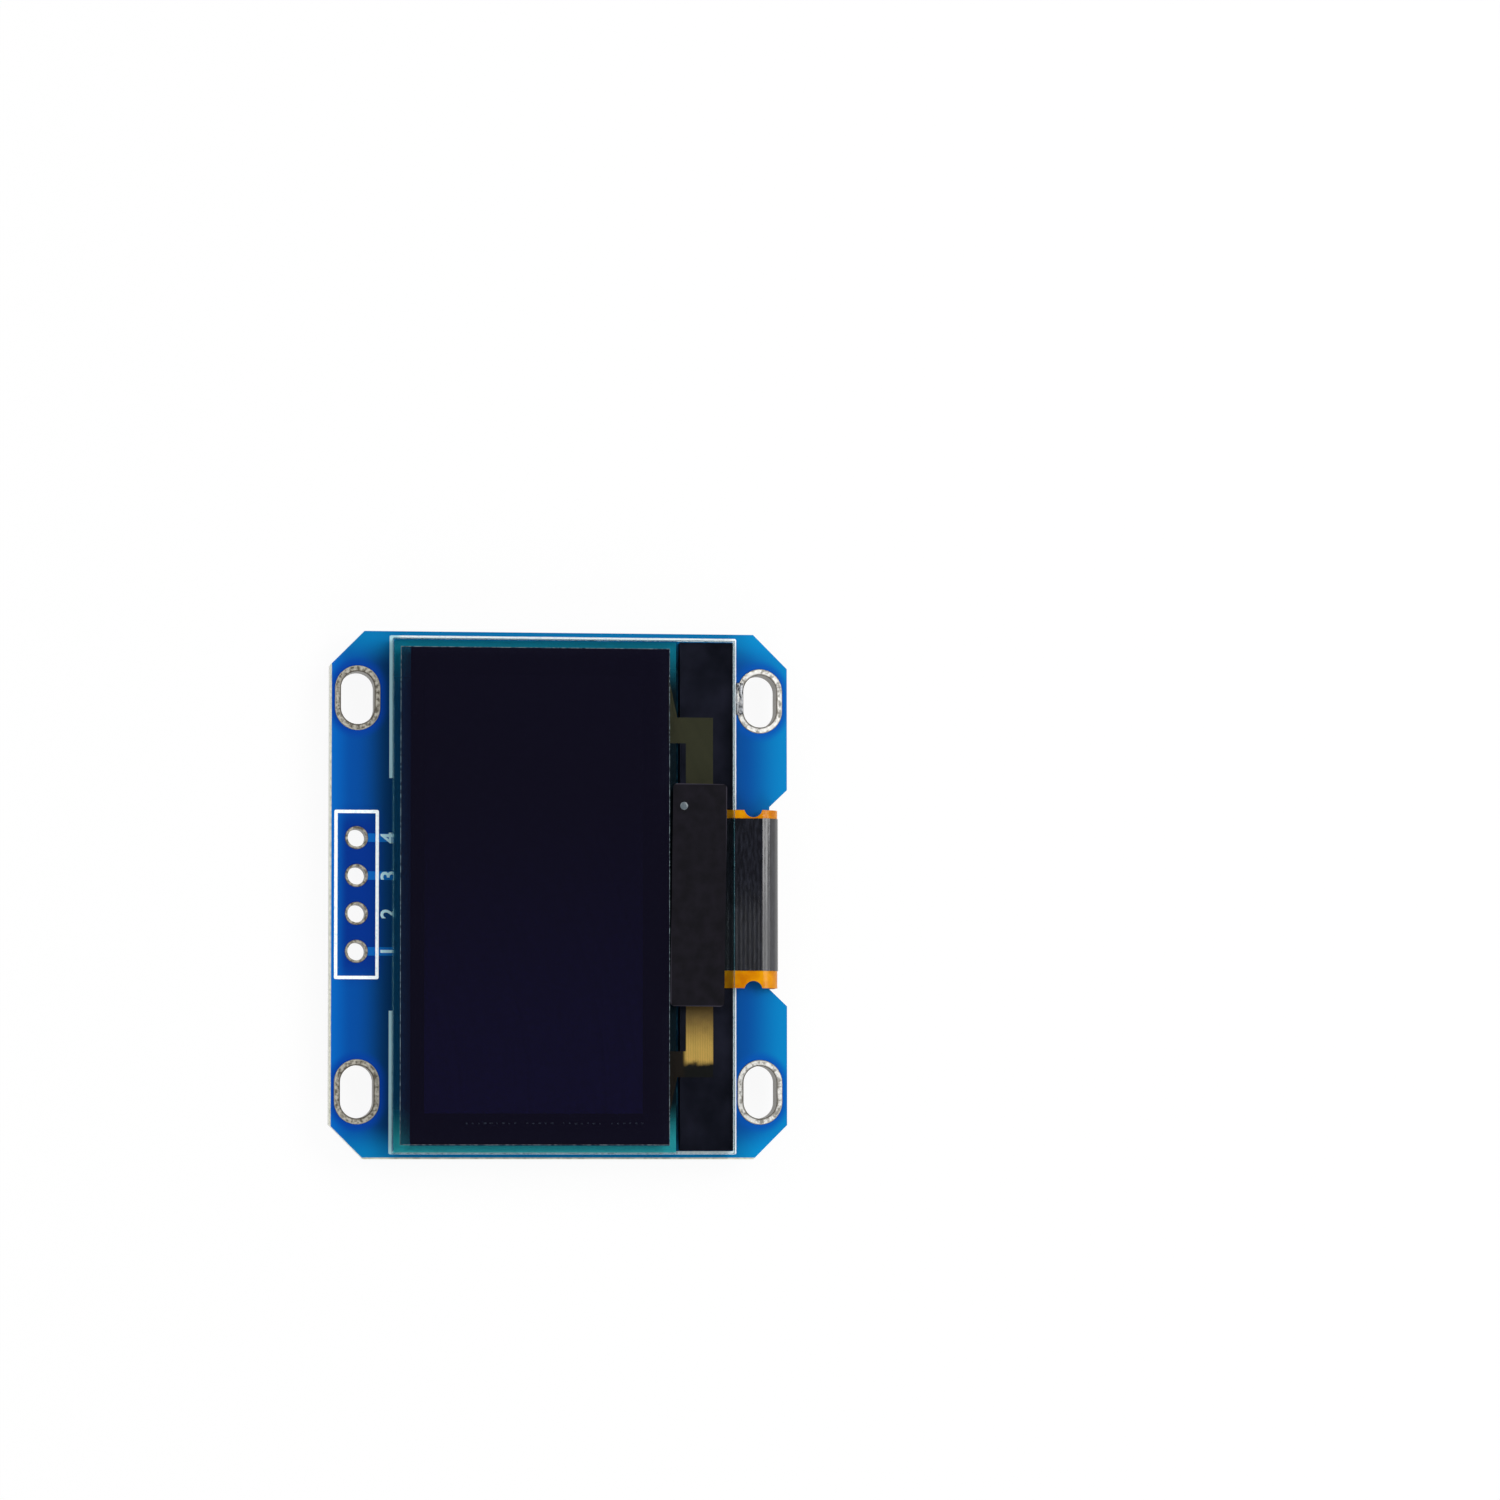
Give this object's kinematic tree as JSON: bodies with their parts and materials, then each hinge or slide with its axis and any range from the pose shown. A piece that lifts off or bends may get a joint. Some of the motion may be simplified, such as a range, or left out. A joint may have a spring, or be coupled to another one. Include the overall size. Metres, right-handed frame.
{
  "type": "graphic display module",
  "caption": "Small monochrome light-emitting graphic display: a glass panel on a blue circuit board with slotted corner holes and a row of pin holes.",
  "frame": {"origin": "centre of the four mounting slots, on the back face of the circuit board", "axes": "+X along the board's long side, +Y across it towards the row of pin holes, +Z from the board towards the viewer of the display"},
  "size_m": [0.0354, 0.0308, 0.0044],
  "materials": {
    "solder_mask": "glossy blue solder mask over glass-fibre board",
    "tin_plating": "tinned copper, slightly uneven",
    "legend_ink": "white printed ink",
    "black_tape": "black double-sided foam tape",
    "display_glass": "clear polished glass",
    "seal_glue": "cured glass-bonding glue",
    "desiccant_film": "off-white drying film",
    "organic_layers": "thin dark metal and organic layers",
    "polarizer_film": "dark neutral polarizing film",
    "trace_metal": "thin golden metal lines",
    "silicon": "bare polished silicon",
    "black_foam": "black foam pad",
    "bond_film": "conductive bonding film",
    "shield_tape": "black light-tight tape",
    "amber_film": "amber polyimide film",
    "cover_film": "black cover film",
    "contact_tin": "tinned copper",
    "solder": "reflowed solder",
    "ceramic": "tan fired ceramic",
    "resistor_coat": "black coated alumina chip",
    "moulded_epoxy": "black moulded epoxy"
  },
  "bodies": {
    "root": {"board": "solder_mask", "slot_plating_1": "tin_plating", "slot_plating_2": "tin_plating", "slot_plating_3": "tin_plating", "slot_plating_4": "tin_plating", "pin_plating_1": "tin_plating", "pin_plating_2": "tin_plating", "pin_plating_3": "tin_plating", "pin_plating_4": "tin_plating", "front_legend": "legend_ink", "panel_tape": "black_tape", "rear_glass": "display_glass", "desiccant_sheet": "desiccant_film", "seal_bead": "seal_glue", "organic_stack": "organic_layers", "front_glass": "display_glass", "polarizer": "polarizer_film", "fanout_high": "trace_metal", "fanout_low": "trace_metal", "driver_chip": "silicon", "ledge_pad": "black_foam", "bond_strip": "bond_film", "light_shield": "shield_tape", "flex_film": "amber_film", "flex_coverlay": "cover_film", "board_lands": "contact_tin", "flex_fingers": "contact_tin", "flex_solder": "solder", "capacitor_1": "ceramic", "capacitor_2": "ceramic", "capacitor_3": "ceramic", "capacitor_4": "ceramic", "capacitor_5": "ceramic", "capacitor_6": "ceramic", "capacitor_7": "ceramic", "resistor_1": "resistor_coat", "resistor_2": "resistor_coat", "resistor_3": "resistor_coat", "resistor_4": "resistor_coat", "resistor_5": "resistor_coat", "resistor_6": "resistor_coat", "regulator_body": "moulded_epoxy", "regulator_leads": "contact_tin", "diode_body": "moulded_epoxy", "diode_leads": "contact_tin", "capacitor_ends": "contact_tin", "resistor_ends": "contact_tin", "component_lands": "contact_tin", "component_solder": "solder"}
  },
  "joints": []
}
